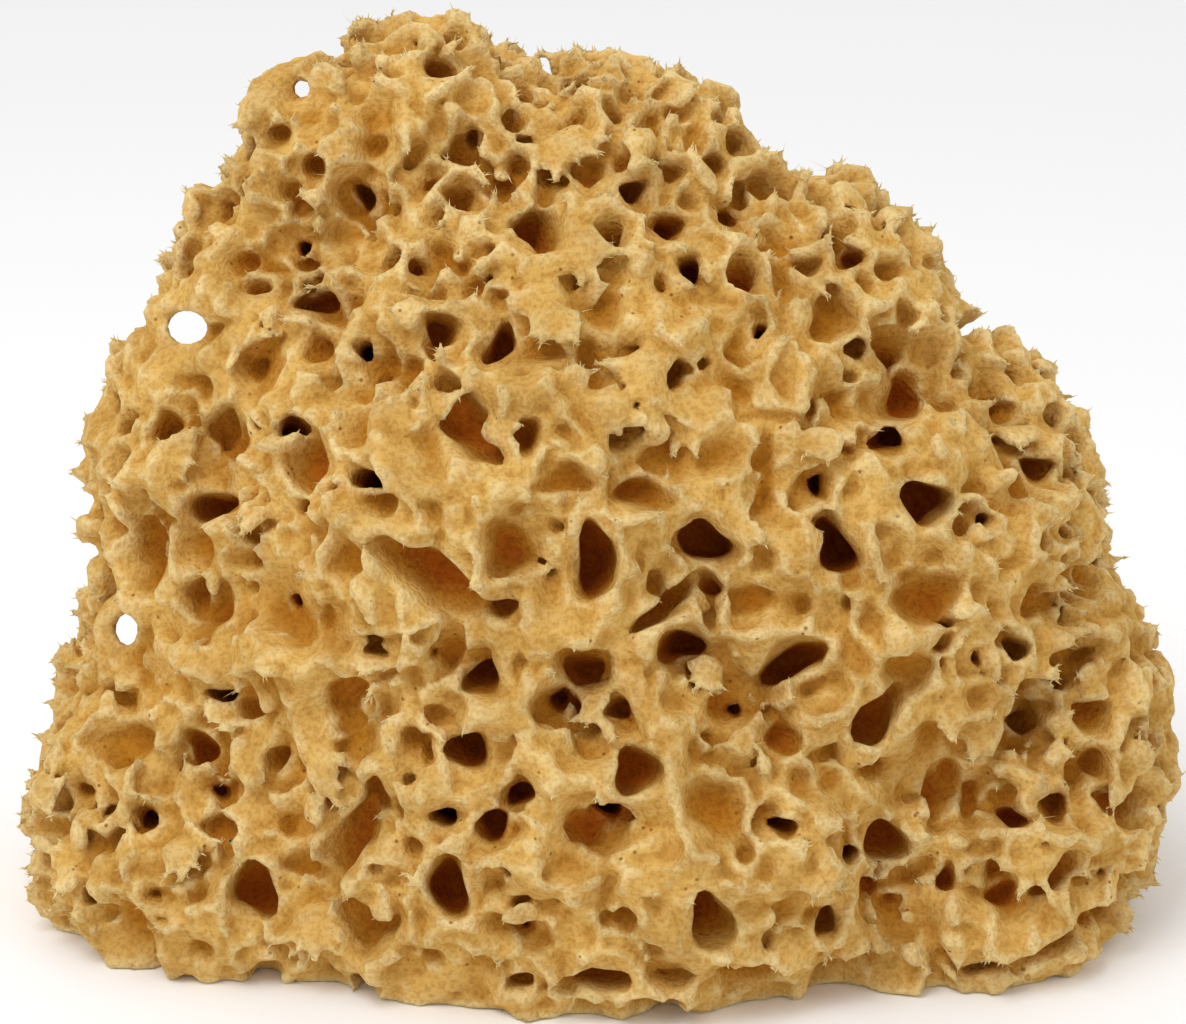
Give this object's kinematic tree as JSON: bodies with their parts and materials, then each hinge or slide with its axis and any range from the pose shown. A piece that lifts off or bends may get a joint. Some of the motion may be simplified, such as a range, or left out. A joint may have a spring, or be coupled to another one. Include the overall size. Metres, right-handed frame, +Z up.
{
  "type": "sea sponge",
  "caption": "Natural sea sponge, a domed porous lump of springy honey-coloured fibre with pits, deep openings and spiny ridges, cut flat underneath to rest on.",
  "frame": {"origin": "middle of the bounding box at the flat cut that the sponge rests on", "axes": "+Z up from the flat cut, X along the broad face, -Y out of the broad face"},
  "size_m": [0.15, 0.099, 0.114],
  "materials": {
    "sponge_fibre": "matte, dry, finely fibrous and porous, honey tan, lighter on the ridges and browner in the openings"
  },
  "bodies": {
    "root": {"sponge": "sponge_fibre"}
  },
  "joints": []
}
